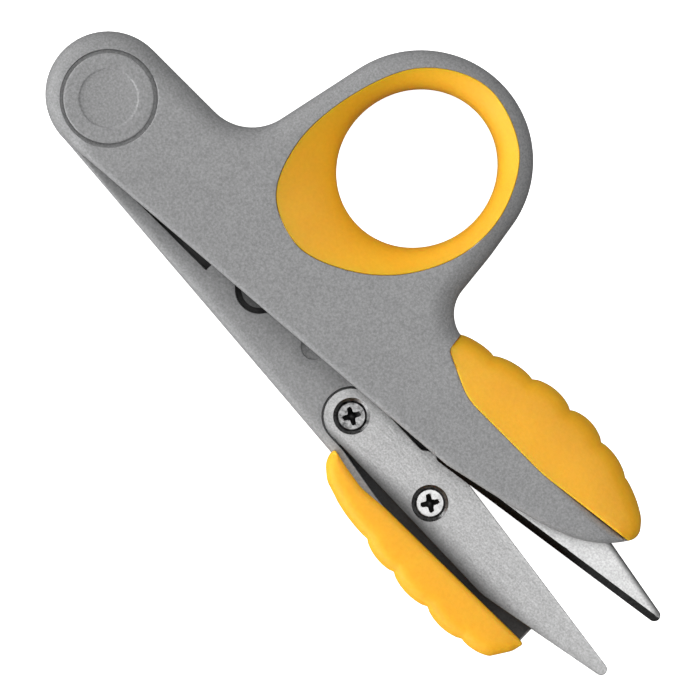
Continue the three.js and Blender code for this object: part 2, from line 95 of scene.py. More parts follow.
# Ring lever and its grip
NOSE_START = 69.5  # x at which the straight edge begins to curve up into the nose
NOSE_END = (94.95, 7.6)
RING_SEAM = [(80, 5.7, 16), (65, 5.7, 9), (58.35, 8.75, 1.2)]  # (x, y, radius), from front to rear
BAY = {"x": 59.0, "y": 16.5, "radius": 5.2, "start": 259, "end": 184}  # arc between grip and ring
RING_VALLEYS = [
    (94.3, 10.9), (88.4, 13.6), (82.6, 14.7), (76.3, 14.8), (69.5, 14.1), (63.4, 12.6), (58.0, 11.45),
]
RING_RISES = [0.4, 0.6, 0.95, 0.95, 0.6, 0.4]
PAD_CROWN = 6.5  # how far in the grips bend down towards their outer edges
RING_SEAT_GAP = 0.2  # round the ring blade in its seat
GRIP_RISE = 1.9  # from the sweep's ceiling up to the grip's underside

# Lower lever and its grip
LOWER_HEEL = 56.84  # x of the grip's rear end
LOWER_SEAM = [  # (x, y, radius), from front to rear
    (94.6, -12.95, 0), (67.5, -13.25, 12), (63.4, -13.6, 6), (59.9, -13.05, 8), (LOWER_HEEL, -12.35, 0),
]
LOWER_VALLEYS = [
    (61.5, -17), (69, -18.05), (74.9, -18.7), (81.7, -18.8), (88.3, -18.6), (92.8, -17.5),
]
LOWER_RISES = [0.35, 0.7, 0.8, 0.8, 0.45]
FOOT = 0.45  # how far the lower lever reaches under its grip
LOWER_SEAT_GAP = 0.28  # round the lower blade in its seat
CHANNEL_FLOOR = 0.8
STOP_POCKET = (33.6, -4)
STOP_RADIUS = 3.42
STOP_ISLAND = 2.6  # raised floor in the middle of the stop pocket
STOP_FLOOR = 3.4
MOAT_FLOOR = 1.6
DARK_FROM, DARK_TO = 0.3, 3.2  # heights between which the recesses get the painted shade grey
EJECTOR_MARK = (44.7, -4.3)
EJECTOR_RADIUS = 1.8

# Finger ring and its liner
EGG = [
    (37.9, 38.45), (32.4, 37.3), (27.1, 32.9), (23.5, 23.6), (23.05, 14), (26.2, 6.8),
    (33.3, 4.05), (41.3, 7.06), (47, 12.5), (50.4, 20.2), (50.1, 27.8), (45.8, 35.2),
]
EGG_EDGE = 0.14  # rounding of the ring lever's edge round the liner
HOLE = {"x": 37.23, "y": 23.61, "long": 11.52, "short": 10.88, "turn": math.radians(81)}
DISH_SLOPE = 0.45  # share of the dish that slopes evenly from the rim
LINER_INSET = 0.12  # how far the liner's rim lies below the ring lever's faces
LINER_LIP = 0.16
LINER_CUT_SLOPE = 12  # rise over run of the liner's wall at the sweep's edge

# Blades, in their own frame: x along the shank from the rear screw, y towards the cutting edge
THICKNESS = 1.45
BEVEL = 1.0
CUTTING_EDGE = 0.25  # thickness left at the cutting edge
FRONT_SCREW = np.array([16.44, -0.44])
HEEL = np.array([12.83, 5.96])
TIP = np.array([55.27, 1.2])
BLADE_CORNERS = [
    (-3.9, -3.9, 3.85, 0.09), (30.7, -4.03, 8, 0.09), (*TIP, 0.87, 0.1),
    (*HEEL, 0.5, 0.1), (10.19, 3.85, 0.5, 0.09), (-3.9, 3.9, 3.85, 0.09),
]
SHADE_REACH = 12.4  # x at which the painted shade along the back has its full width
SHADE_WIDTHS = (1.6, 4.1)  # at the rear screw and at its reach
SHADE_LINE = 4.6  # how far its darkest line lies from the shank's middle
BACK_TAPER = [(30.7, -4.12), (55.75, 1.1)]  # straight stretch of the back that runs to the tip
TAPER_FADE = (0.3, 1.1)  # distances from it between which its painted dark line fades

# Blade screws and their holes
COUNTERSINK = 2.6
SCREW_BORE = 1.25
SCREW_HOLE = 1.2
RING_HOLE_END = 11  # height
LOWER_HOLE_END = 1  # height
HEAD_RADIUS = 1.95
HEAD_SUNK = 0.35  # below the blade's face
HEAD_RIM = 0.25
HEAD_CONE = 0.9
HEAD_EDGE = 0.12
SHANK_RADIUS = 1.1
SHANK_LENGTH = 3.4
CROSS_REACH = 1.3
CROSS_HALF = 0.36  # half the width of the cross's arms
CROSS_DEPTH = 1.5
CROSS_SLOPE = 0.75  # how fast the cross gets shallower away from its middle

# Pivot: radii, unless a name says otherwise
POST_RADIUS = 2.9
POST_TOP = 9.3  # height
PIVOT_HEAD = 3.4  # of the pivot screw
BARREL_HEAD = 5.4
BARREL_HEAD_THICKNESS = 1
BARREL_RECESS = 5.5  # in the lower lever's underside
BARREL_RECESS_DEPTH = 1.5
BARREL_BORE = 1.3
BARREL_BORE_FLOOR = 3  # height
CAP_RECESS = 6.85
CAP_DEPTH = 1
CAP_SUNK = 0.02  # below the lever's top
CAP_DISH = 4.2
CAP_DISH_STEP = 0.2  # depth, and width of the slope round the dish
WASHER_BORE = 2.95
WASHERS = {"thrust_washer": 4.2, "lower_thrust_washer": 5.2}  # outer radius of each

# Stop peg, and return spring with its pockets
PEG = (33.6, -2.17)
PEG_RADIUS = 1.5
PEG_LOW = 3.7  # height of the peg's end
HUB = 4.3  # radius of the levers' hubs inside the coil
HUB_RECESS = HUB + 0.1
SPRING_POCKET = 7.4
SPRING_CEILING = 8.8
SPRING_FLOOR = 2.8
WIRE_RADIUS = 0.55
COIL_RADIUS = 5.75
COIL_TURNS = 3.5
COIL_LOW = 3.5
COIL_RISE = 4.5
LOWER_LEG = 21
UPPER_LEG = 14
LEG_LEAN = math.radians(7)

# ---- outlines ----
# An outline is an array of rows [x, y, rounding]: rounding is how far in its edge is rounded there.


def unit(vectors):
    return vectors / np.linalg.norm(vectors, axis=-1, keepdims=True)


def rounded(corners, step=0.8, closed=True):
    """Outline through corners (x, y, radius, rounding), each rounded by an arc."""
    rows = []
    count = len(corners)
    for i, (x, y, radius, edge) in enumerate(corners):
        corner = np.array([x, y])
        back = unit(np.array(corners[i - 1][:2]) - corner)
        ahead = unit(np.array(corners[(i + 1) % count][:2]) - corner)
        turn = math.pi - math.acos(max(-1, min(1, float(back @ ahead))))
        if radius == 0 or turn < 1e-3 or (not closed and i in (0, count - 1)):
            rows.append([x, y, edge])
            continue
        centre = corner + unit(back + ahead) * radius / math.cos(turn / 2)
        start = corner + back * radius * math.tan(turn / 2) - centre
        side = math.copysign(1, ahead[0] * back[1] - ahead[1] * back[0])
        pieces = max(2, math.ceil(turn / ARC_STEP), math.ceil(turn * radius / step))
        for k in range(pieces + 1):
            angle = side * turn * k / pieces
            spoke = (
                start[0] * math.cos(angle) - start[1] * math.sin(angle),
                start[0] * math.sin(angle) + start[1] * math.cos(angle),
            )
            rows.append([centre[0] + spoke[0], centre[1] + spoke[1], edge])
    return divided(np.array(rows), step, closed)


def divided(rows, step, closed=True):
    """The same outline with no side longer than step, and no two points alike."""
    ends = np.roll(rows, -1, axis=0) if closed else rows[1:]
    made = []
    for start, end in zip(rows, ends):
        length = np.linalg.norm(end[:2] - start[:2])
        if length < 0.02:
            continue
        pieces = max(1, math.ceil(length / step))
        made += [start + (end - start) * k / pieces for k in range(pieces)]
    return np.array(made if closed else [*made, rows[-1]])


def with_column(points, value):
    """Flat points with a third number that is the same for all: a rounding or a height."""
    return np.column_stack([points[:, :2], np.full(len(points), value)])


def circle(x, y, radius, edge=0.0, sides=72):
    angles = np.arange(sides) * 2 * math.pi / sides
    return with_column(np.column_stack([x + radius * np.cos(angles), y + radius * np.sin(angles)]), edge)


def blend(t, start, end, a, b):
    """What lies between a at start and b at end."""
    return (end - t) / (end - start) * a + (t - start) / (end - start) * b


def smooth_loop(points, count):
    """Closed centripetal Catmull-Rom curve through points, evenly spaced."""
    knots = np.array(points, float)
    dense = []
    for i in range(len(knots)):
        p0, p1, p2, p3 = (knots[(i + k) % len(knots)] for k in (-1, 0, 1, 2))
        gaps = [math.sqrt(np.linalg.norm(b - a)) for a, b in ((p0, p1), (p1, p2), (p2, p3))]
        t0, t1, t2, t3 = (sum(gaps[:k]) for k in range(4))
        for t in np.linspace(t1, t2, 24, endpoint=False):
            middle_side = blend(t, t1, t2, p1, p2)
            b1 = blend(t, t0, t2, blend(t, t0, t1, p0, p1), middle_side)
            b2 = blend(t, t1, t3, middle_side, blend(t, t2, t3, p2, p3))
            dense.append(blend(t, t1, t2, b1, b2))
    dense = np.array([*dense, dense[0]])
    run = np.concatenate([[0], np.cumsum(np.linalg.norm(np.diff(dense, axis=0), axis=1))])
    even = np.linspace(0, run[-1], count, endpoint=False)
    return np.column_stack([np.interp(even, run, dense[:, 0]), np.interp(even, run, dense[:, 1])])


def offset(rows, distance):
    """Moves an anticlockwise outline outwards by a distance, or a distance for each point."""
    before = unit((rows - np.roll(rows, 1, axis=0))[:, :2])
    after = unit((np.roll(rows, -1, axis=0) - rows)[:, :2])
    out = unit(np.column_stack([before[:, 1] + after[:, 1], -before[:, 0] - after[:, 0]]))
    mitre = np.maximum(0.4, out[:, 0] * before[:, 1] - out[:, 1] * before[:, 0])
    moved = rows.copy()
    moved[:, :2] += out * (distance / mitre)[:, None]
    return moved


def scallops(valleys, rises, edge, pieces=10):
    """Row of bulges between valley points; rises gives each bulge's height over its chord."""
    rows = []
    for (x0, y0), (x1, y1), rise in zip(valleys, valleys[1:], rises):
        chord = np.array([x1 - x0, y1 - y0])
        out = unit(np.array([chord[1], -chord[0]]))
        for k in range(pieces):
            t = k / pieces
            bulge = rise * (4 * t * (1 - t)) ** 0.8
            x, y = np.array([x0, y0]) + chord * t + out * bulge
            rows.append((x, y, 0, edge))
    return [*rows, (*valleys[-1], 0, edge)]


# ---- measuring ----


def chunks(points, size=1500):
    for start in range(0, len(points), size):
        yield slice(start, start + size)


def spans(points, rows, closed=True):
    """For each chunk of points, its slice, the distances to an outline's sides and the rounding there."""
    starts, ends = (rows, np.roll(rows, -1, axis=0)) if closed else (rows[:-1], rows[1:])
    along = (ends - starts)[:, :2]
    length = np.maximum((along**2).sum(1), 1e-12)
    for part in chunks(points):
        gap = points[part, None, :2] - starts[None, :, :2]
        t = np.clip((gap * along).sum(2) / length, 0, 1)
        away = np.sqrt(((gap - t[..., None] * along) ** 2).sum(2))
        yield part, away, starts[:, 2] + t * (ends - starts)[:, 2]


def distances(points, rows):
    """Distance from each point to an outline."""
    found = np.empty(len(points))
    for part, away, _ in spans(points, rows):
        found[part] = away.min(1)
    return found


def inside(points, rows):
    x1, y1 = rows[:, 0], rows[:, 1]
    x2, y2 = np.roll(x1, -1), np.roll(y1, -1)
    slope = (x2 - x1) / np.where(y2 == y1, 1e-12, y2 - y1)
    found = np.empty(len(points), bool)
    for part in chunks(points):
        x, y = points[part, 0, None], points[part, 1, None]
        crossing = ((y1 > y) != (y2 > y)) & (x < slope * (y - y1) + x1)
        found[part] = crossing.sum(1) % 2 == 1
    return found


def signed(points, rows):
    """Distance to an outline, positive inside it."""
    return np.where(inside(points, rows), 1, -1) * distances(points, rows)


def rounding_depth(points, rows, ratio, closed=True):
    """How far the rounded edge along an outline lowers each point."""
    depth = np.zeros(len(points))
    for part, away, rounding in spans(points, rows, closed):
        rounding = np.maximum(rounding, 1e-6)
        u = np.clip(1 - away / rounding, 0, 1)
        depth[part] = (ratio * rounding * (1 - np.sqrt(1 - u**2))).max(1)
    return depth


# ---- plates ----

# Where rows of vertices follow an edge, as shares of its rounding
EDGE_RINGS = [1 - math.cos(math.radians(angle)) for angle in (15, 30, 42, 54, 66, 78, 90)]
LIP_RINGS = [1 - math.cos(math.radians(angle)) for angle in (22, 45, 67, 90)]
ROW_STEP = 0.866  # between the rows of the triangular grid, per unit of spacing
NEAR = 0.015  # free points closer than this to a fixed line are left out
LEAST_ROUNDING = 0.05  # below this an edge gets no rows of its own


class Side:
    """Top (sign 1) or underside (sign -1) of a plate: a level face with rounded edges and cuts.

    Its rounded edges go down by ratio times as much as they reach in.
    """

    def __init__(self, level, sign, ratio=0.85):
        self.level, self.sign, self.ratio = level, sign, ratio
        self.loops, self.lines, self.cuts = [], [], []

    def depth_of(self, z):
        return self.sign * (self.level - z)

    def pocket(self, rows, z, lip=0.12, island=None):
        """Steep-walled cut down to height z, with a rounded lip."""
        bottom = self.depth_of(z)
        walls = [(rows, 1)] + ([(island, -1)] if island is not None else [])
        for wall, way in walls:
            self.loops.append(wall)
            self.loops.append(offset(wall, -way * WALL))
            self.lines += [offset(wall, way * lip * t) for t in LIP_RINGS] if lip else []

        def cut(points, depth):
            reach = signed(points, rows)
            if island is not None:
                reach = np.minimum(reach, -signed(points, island))
            made = np.where(reach > WALL / 2, bottom, 0)
            if lip:
                u = np.clip((reach + lip) / lip, 0, 1)
                made = np.maximum(made, np.minimum(lip * (1 - np.sqrt(1 - u**2)), bottom))
            return np.maximum(depth, made)

        self.cuts.append(cut)

    def boss(self, rows, z):
        """Steep-walled raised part up to height z."""
        self.loops += [rows, offset(rows, WALL)]
        level = self.depth_of(z)
        self.cuts.append(lambda points, depth: np.where(signed(points, rows) > -WALL / 2, level, depth))

    def crown(self, rows, ratio):
        """Bends the whole face down towards an open line, on top of its rounded edges."""
        self.cuts.append(lambda points, depth: depth + rounding_depth(points, rows, ratio, closed=False))

    def heights(self, points, rims):
        depth = np.zeros(len(points))
        for rim in rims:
            depth = np.maximum(depth, rounding_depth(points, rim, self.ratio))
        for cut in self.cuts:
            depth = cut(points, depth)
        return self.level - self.sign * depth


def free_points(rims, lines, rows_to_add, spacing):
    """Points between the fixed lines: rows along the rounded edges and an even grid."""
    loose = [rows[:, :2] for rows in rows_to_add]
    for rows, way in zip(rims, [-1] + [1] * len(rims)):
        for t in EDGE_RINGS:
            ring = offset(rows, way * t * rows[:, 2])
            kept = distances(ring, rows) > 0.96 * t * ring[:, 2]
            loose.append(ring[kept & (ring[:, 2] > LEAST_ROUNDING), :2])
    fixed = np.concatenate(lines)
    x0, y0, _ = fixed.min(0)
    x1, y1, _ = fixed.max(0)
    columns = np.arange(x0, x1, spacing)
    heights = np.arange(y0, y1, spacing * ROW_STEP)
    grid = np.array([(x + spacing / 2 * (k % 2), y) for k, y in enumerate(heights) for x in columns])
    for rows in lines:
        grid = grid[distances(grid, rows) > spacing * 0.5]
    loose = np.concatenate([*loose, grid])
    for rows in lines:
        loose = loose[distances(loose, rows) >= NEAR]
    return loose[inside(loose, rims[0])]


def triangulated(rims, lines, loose):
    """Flat points and upward triangles inside the first rim and outside the others."""
    points, edges = [], []
    for rows in lines:
        edges += [(len(points) + k, len(points) + (k + 1) % len(rows)) for k in range(len(rows))]
        points += [Vector(row) for row in rows[:, :2]]
    points += [Vector(point) for point in loose]
    found, _, triangles, *_ = delaunay_2d_cdt(points, edges, [], 0, 1e-5, False)
    flat = np.array([point[:] for point in found])
    corners = np.array([triangle[:] for triangle in triangles])
    centres = flat[corners].mean(1)
    kept = inside(centres, rims[0])
    for hole in rims[1:]:
        kept &= ~inside(centres, hole)
    corners = corners[kept]
    a, b, c = (flat[corners[:, k]] for k in range(3))
    turn = (b[:, 0] - a[:, 0]) * (c[:, 1] - a[:, 1]) - (b[:, 1] - a[:, 1]) * (c[:, 0] - a[:, 0])
    corners[turn < 0] = corners[turn < 0][:, ::-1]
    used, corners = np.unique(corners[abs(turn) > 1e-9], return_inverse=True)
    return flat[used], corners.reshape(-1, 3)


def plate(outline, top, under, holes=(), spacing=1.6):
    """Vertices and faces of a closed solid between two sides, over an outline with holes through it."""
    rims = [outline, *holes]
    lines = [*rims, *top.loops, *under.loops]
    loose = free_points(rims, lines, top.lines + under.lines, spacing)
    flat, corners = triangulated(rims, lines, loose)
    upper = np.column_stack([flat, top.heights(flat, rims)])
    lower = np.column_stack([flat, under.heights(flat, rims)])
    count = len(flat)
    faces = [tuple(t) for t in corners] + [tuple(t + count)[::-1] for t in corners]
    sides = dict.fromkeys((t[k], t[(k + 1) % 3]) for t in corners for k in range(3))
    for start, end in sides:
        if (end, start) not in sides:
            faces.append((start + count, end + count, end, start))
    return np.concatenate([upper, lower]), faces


# ---- turned and swept solids ----


def bridged(rings, closed=False):
    """Faces between neighbouring rings of vertex numbers."""
    faces = []
    for near, far in zip(rings, [*rings[1:], rings[0]] if closed else rings[1:]):
        for k in range(len(near)):
            n = (k + 1) % len(near)
            faces.append((near[k], near[n], far[n], far[k]))
    return faces


def ring_numbers(rings, sides):
    return [range(r * sides, (r + 1) * sides) for r in range(rings)]


def lathe(profile, sides=96, closed=False):
    """Vertices and faces of a solid turned about the pivot's axis, from (radius, z) points."""
    points, rings = [], []
    for radius, z in profile:
        start = len(points)
        if radius > 0:
            rings.append(range(start, start + sides))
            points += [*with_column(circle(0, 0, radius, sides=sides), z)]
        else:
            rings.append([start] * sides)
            points.append((0, 0, z))
    faces = [tuple(dict.fromkeys(face)) for face in bridged(rings, closed)]
    return np.array(points), [face for face in faces if len(face) > 2]


def fillet(corners, radius, steps=5):
    """Profile through (radius, z) corners with the inner ones rounded off."""
    made = [corners[0]]
    for before, corner, after in zip(corners, corners[1:], corners[2:]):
        before, corner, after = (np.array(p, float) for p in (before, corner, after))
        reach = min(radius, math.dist(before, corner) / 2.2, math.dist(after, corner) / 2.2)
        back, ahead = unit(before - corner) * reach, unit(after - corner) * reach
        made += [tuple(corner + back * (1 - t) ** 2 + ahead * t**2) for t in np.linspace(0, 1, steps + 1)]
    return [*made, corners[-1]]


def tube(line, radius, sides=14):
    """Vertices and faces of a round wire along a line."""
    points = []
    for point, tangent in zip(line, unit(np.gradient(line, axis=0))):
        side = unit(np.cross(tangent, (0, 0, 1)))
        rise = np.cross(side, tangent)
        for k in range(sides):
            angle = 2 * math.pi * k / sides
            points.append(point + radius * (side * math.cos(angle) + rise * math.sin(angle)))
    rings = ring_numbers(len(line), sides)
    faces = [(a, d, c, b) for a, b, c, d in bridged(rings)]
    return np.array(points), [*faces, tuple(rings[0]), tuple(reversed(rings[-1]))]


# ---- objects ----


def piece(name, shape, body, material, replaced, sharp=38):
    """A mesh object from (vertices in millimetres, faces), which rides on a body and replaces a node."""
    points, faces = shape
    mesh = bpy.data.meshes.new(name)
    mesh.from_pydata([tuple(p) for p in np.asarray(points) * MM], [], faces)
    mesh.validate()
    obj = bpy.data.objects.new(name, mesh)
    bpy.context.scene.collection.objects.link(obj)
    bpy.context.view_layer.objects.active = obj
    obj.select_set(True)
    bpy.ops.object.shade_smooth_by_angle(angle=math.radians(sharp))
    obj.select_set(False)
    mesh.materials.append(material)
    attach(obj, body)
    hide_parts(replaced)
    return obj


# ---- materials ----


def new_material(name):
    material = bpy.data.materials.new(name)
    material.use_nodes = True
    tree = material.node_tree
    return material, tree, tree.nodes["Principled BSDF"]


def noise(tree, scale, detail=2.0, rough=0.5, stretch=(1, 1, 1)):
    """Noise over the object's own coordinates, with scale in features per metre."""
    place = tree.nodes.new("ShaderNodeTexCoord")
    mapping = tree.nodes.new("ShaderNodeMapping")
    mapping.inputs["Scale"].default_value = stretch
    texture = tree.nodes.new("ShaderNodeTexNoise")
    texture.inputs["Scale"].default_value = scale
    texture.inputs["Detail"].default_value = detail
    texture.inputs["Roughness"].default_value = rough
    tree.links.new(place.outputs["Object"], mapping.inputs["Vector"])
    tree.links.new(mapping.outputs["Vector"], texture.inputs["Vector"])
    return texture.outputs["Fac"]


def opaque(value):
    """Colour with alpha, from a colour or from a number for a grey."""
    return (*value, 1) if isinstance(value, tuple) else (value, value, value, 1)


def ramp(tree, factor, low_value, high_value, start=0.35, end=0.65):
    """Maps the middle of a noise to values or colours."""
    node = tree.nodes.new("ShaderNodeValToRGB")
    first, last = node.color_ramp.elements
    first.position, last.position = start, end
    first.color, last.color = opaque(low_value), opaque(high_value)
    tree.links.new(factor, node.inputs["Fac"])
    return node.outputs["Color"]


def mapped(tree, value, source, target, curve="LINEAR"):
    """Maps a value from one range to another, kept inside it."""
    node = tree.nodes.new("ShaderNodeMapRange")
    node.interpolation_type = curve
    for socket, number in zip(("From Min", "From Max", "To Min", "To Max"), (*source, *target)):
        node.inputs[socket].default_value = number
    tree.links.new(value, node.inputs["Value"])
    return node.outputs["Result"]


def calculated(tree, operation, *operands):
    """Result of a Math node on sockets and numbers."""
    node = tree.nodes.new("ShaderNodeMath")
    node.operation = operation
    for socket, operand in zip(node.inputs, operands):
        if isinstance(operand, (int, float)):
            socket.default_value = operand
        else:
            tree.links.new(operand, socket)
    return node.outputs["Value"]


def surface(tree, shader, tint, roughness, height, strength, distance):
    """Gives a shader its colour and roughness, and a bump of a strength and a distance in metres."""
    tree.links.new(tint, shader.inputs["Base Color"])
    tree.links.new(roughness, shader.inputs["Roughness"])
    bump = tree.nodes.new("ShaderNodeBump")
    bump.inputs["Strength"].default_value = strength
    bump.inputs["Distance"].default_value = distance
    tree.links.new(height, bump.inputs["Height"])
    tree.links.new(bump.outputs["Normal"], shader.inputs["Normal"])


def grey_plastic(name="grey_plastic", share=1.0):
    """Matt moulded nylon with the fine spark-eroded grain of its mould, at a share of its full tone; a low
    share serves as painted shade.
    """
    material, tree, shader = new_material(name)
    grain = noise(tree, 3300, 3, 0.62)
    cloud = noise(tree, 160, 4, 0.55)
    dark = tuple(share * channel for channel in (0.175, 0.176, 0.178))
    light = tuple(share * channel for channel in (0.3, 0.301, 0.304))
    tint = ramp(tree, grain, dark, light, 0.3, 0.7)
    surface(tree, shader, tint, ramp(tree, cloud, 0.5, 0.62), grain, 0.35, 0.00006)
    shader.inputs["Specular IOR Level"].default_value = 0.45
    return material


def yellow_rubber():
    """Soft thermoplastic rubber: warm yellow, satin, with a very fine skin texture."""
    material, tree, shader = new_material("yellow_rubber")
    grain = noise(tree, 2600, 3, 0.6)
    cloud = noise(tree, 120, 3, 0.5)
    tint = ramp(tree, cloud, (0.85, 0.418, 0.014), (0.89, 0.453, 0.018), 0.3, 0.7)
    speckle = noise(tree, 1900, 3, 0.65)
    mottled = tree.nodes.new("ShaderNodeMix")
    mottled.data_type = "RGBA"
    mottled.blend_type = "MULTIPLY"
    mottled.inputs["Factor"].default_value = 1.0
    tree.links.new(tint, mottled.inputs["A"])
    tree.links.new(ramp(tree, speckle, (0.93, 0.91, 0.7), 1.0, 0.3, 0.7), mottled.inputs["B"])
    roughness = ramp(tree, grain, 0.5, 0.66)
    surface(tree, shader, mottled.outputs["Result"], roughness, grain, 0.25, 0.00006)
    shader.inputs["Specular IOR Level"].default_value = 0.32
    shader.inputs["Subsurface Weight"].default_value = 0.5
    shader.inputs["Subsurface Radius"].default_value = (0.003, 0.0008, 0.0002)
    shader.inputs["Subsurface Scale"].default_value = 1.0
    return material


def blade_steel(place, tone, taper_shade=False):
    """Satin stainless sheet with a fine random grain, with painted shade along the blade's back.

    The painted shade is laid out in the blade's own frame, and narrows towards the blade's rear end.
    """
    material, tree, shader = new_material(f"blade_steel_{place.prefix}")
    grain = noise(tree, 3500, 3, 0.65)
    lines = noise(tree, 900, 3, 0.6, stretch=(1, 14, 1))
    tint = ramp(tree, grain, tone * 0.72, tone * 1.18, 0.3, 0.7)
    coordinates = tree.nodes.new("ShaderNodeTexCoord")
    local = tree.nodes.new("ShaderNodeMapping")
    local.vector_type = "TEXTURE"
    local.inputs["Location"].default_value = (place.rear[0] * MM, place.rear[1] * MM, 0)
    local.inputs["Rotation"].default_value = (0, 0, place.turn)
    tree.links.new(coordinates.outputs["Object"], local.inputs["Vector"])
    split = tree.nodes.new("ShaderNodeSeparateXYZ")
    tree.links.new(local.outputs["Vector"], split.inputs["Vector"])
    # painted shade: the tint darkens towards the blade's back, over a width that grows from the rear screw
    width = mapped(tree, split.outputs["X"], (0, SHADE_REACH * MM), [w * MM for w in SHADE_WIDTHS])
    across = calculated(tree, "MULTIPLY_ADD", split.outputs["Y"], place.flip, SHADE_LINE * MM)
    share = calculated(tree, "DIVIDE", across, width)
    unshaded = mapped(tree, share, (0, 1), (0, 1), "SMOOTHSTEP")
    # painted shade: a dark line along the straight stretch of the back that runs to the tip
    if taper_shade:
        (x0, y0), (x1, y1) = BACK_TAPER
        angle = math.atan2(y1 - y0, x1 - x0)
        cos, sin = math.cos(angle), math.sin(angle)
        start = (x0 * sin - y0 * cos) * MM
        across = calculated(tree, "MULTIPLY_ADD", split.outputs["Y"], place.flip * cos, start)
        away = calculated(tree, "MULTIPLY_ADD", split.outputs["X"], -sin, across)
        edge = mapped(tree, away, [distance * MM for distance in TAPER_FADE], (0, 1))
        unshaded = calculated(tree, "MINIMUM", unshaded, edge)
    mix = tree.nodes.new("ShaderNodeMix")
    mix.data_type = "RGBA"
    mix.inputs["A"].default_value = opaque(tone * 0.1)
    tree.links.new(unshaded, mix.inputs["Factor"])
    tree.links.new(tint, mix.inputs["B"])
    surface(tree, shader, mix.outputs["Result"], ramp(tree, lines, 0.36, 0.5), grain, 0.12, 0.00004)
    shader.inputs["Metallic"].default_value = 1.0
    return material


def ground_steel():
    """Ground face of a blade's bevel, with grinding lines across it, toned near black as painted shade on the
    sloping bevel.
    """
    material, tree, shader = new_material("ground_steel")
    lines = noise(tree, 1500, 3, 0.6, stretch=(8, 1, 1))
    tint = ramp(tree, lines, 0.01, 0.028)
    surface(tree, shader, tint, ramp(tree, lines, 0.28, 0.42), lines, 0.15, 0.00003)
    shader.inputs["Metallic"].default_value = 1.0
    return material


def screw_steel(name, roughness, tone, scuffed):
    """Nickel-plated steel with scuffs of another tone."""
    material, tree, shader = new_material(name)
    scuffs = noise(tree, 1400, 5, 0.7)
    tint = ramp(tree, scuffs, scuffed, tone)
    surface(tree, shader, tint, ramp(tree, scuffs, roughness, roughness + 0.16), scuffs, 0.2, 0.00005)
    shader.inputs["Metallic"].default_value = 1.0
    return material


def nylon():
    """Natural washer nylon, nearly white."""
    material, tree, shader = new_material("nylon")
    grain = noise(tree, 2200, 3, 0.5)
    tint = ramp(tree, grain, (0.76, 0.74, 0.68), (0.82, 0.80, 0.75))
    surface(tree, shader, tint, ramp(tree, grain, 0.42, 0.55), grain, 0.15, 0.00005)
    return material


def floor_paper():
    material, tree, shader = new_material("floor_paper")
    grain = noise(tree, 300, 2, 0.5)
    tree.links.new(ramp(tree, grain, 0.93, 0.95), shader.inputs["Base Color"])
    shader.inputs["Roughness"].default_value = 0.9
    shader.inputs["Specular IOR Level"].default_value = 0.1
    shader.inputs["Emission Color"].default_value = (1, 1, 1, 1)
    shader.inputs["Emission Strength"].default_value = 0.95
    return material


GREY = grey_plastic()
# painted shade: the grey at a fifth of its tone, for the lower lever's recesses
GREY_PAINTED_SHADE = grey_plastic("grey_plastic_painted_shade", 0.2)
YELLOW = yellow_rubber()
GROUND_PAINTED_SHADE = ground_steel()
BRIGHT = screw_steel("screw_steel_bright", 0.22, 0.44, 0.2)
DULL = screw_steel("screw_steel_dull", 0.28, 0.36, 0.02)
# painted shade: the cross recess of each screw is toned near black
RECESS_PAINTED_SHADE = screw_steel("screw_recess_painted_shade", 0.4, 0.04, 0.02)
# painted shade: the countersinks' steel is toned darker than the blade's face
SINK_PAINTED_SHADE = screw_steel("countersink_steel_painted_shade", 0.25, 0.2, 0.08)
PIVOT_STEEL = screw_steel("pivot_steel", 0.24, 0.68, 0.58)
SPRING = screw_steel("spring_steel", 0.26, 0.5, 0.42)
NYLON = nylon()

# ---- outlines of the moulded pieces ----


def ring_edge(x):
    """Straight lower edge of the ring lever."""
    return EDGE_AT_EYE + EDGE_SLOPE * (x - EYE[0])


def lower_edge(x):
    """Outer edge of the lower lever, which mirrors the ring lever's."""
    return EDGE_AT_EYE - EDGE_SLOPE * (x - EYE[0])


def ring_lever_outline():
    handles = [(NOSE_START, ring_edge(NOSE_START)), (85.0, 0.68), (90.9, 1.43), NOSE_END]
    nose = []
    for k in range(37):
        t = k / 36
        weights = [(1 - t) ** 3, 3 * t * (1 - t) ** 2, 3 * t**2 * (1 - t), t**3]
        x, y = (sum(w * h[axis] for w, h in zip(weights, handles)) for axis in (0, 1))
        nose.append((x, y, 0, CRISP + (NOSE_ROUNDING - CRISP) * min(1, 1.6 * t) ** 2))
    bay = []
    for angle in np.radians(np.linspace(BAY["start"], BAY["end"], 20)):
        x, y = BAY["x"] + BAY["radius"] * math.cos(angle), BAY["y"] + BAY["radius"] * math.sin(angle)
        bay.append((x, y, 0, 1.2 if not bay else OUTER))
    return rounded([
        *nose,
        *[(*corner, SEAM) for corner in RING_SEAM],
        *bay,
        (53.2, 22, 25, OUTER),
        (50.25, 40.3, 15.4, OUTER),
        (24.33, 40.3, 15.95, OUTER),
        (17.67, EYE_TOP, 7.4, OUTER),
        (EYE_LEFT, EYE_TOP, EYE_RADIUS, OUTER),
        (EYE_LEFT, ring_edge(EYE_LEFT), EYE_RADIUS, OUTER),
        (1.5, ring_edge(1.5), 0, 2.0),
        (6, ring_edge(6), 0, CRISP),
    ])


def sweep_outline():
    """Where the ring lever is cut to half its thickness to clear the lower lever."""
    return rounded([
        (-12, -14, 0, 0), (110, -14, 0, 0), (110, 8.4, 0, 0), (57, 8, 0, 0), (53, 6.6, 0, 0),
        (34, 6.4, 0, 0), (22, 8.6, 2, 0), (15.5, 14, 0, 0), (-12, 14, 0, 0),
    ])


def ring_grip_outline():
    return rounded([
        *scallops(RING_VALLEYS, RING_RISES, PAD_ROUNDING),
        *[(*corner, PAD_SEAM) for corner in reversed(RING_SEAM)],
        (*NOSE_END, 0.3, 0.5),
        (96.1, 8.6, 1.9, 1.8),
    ])


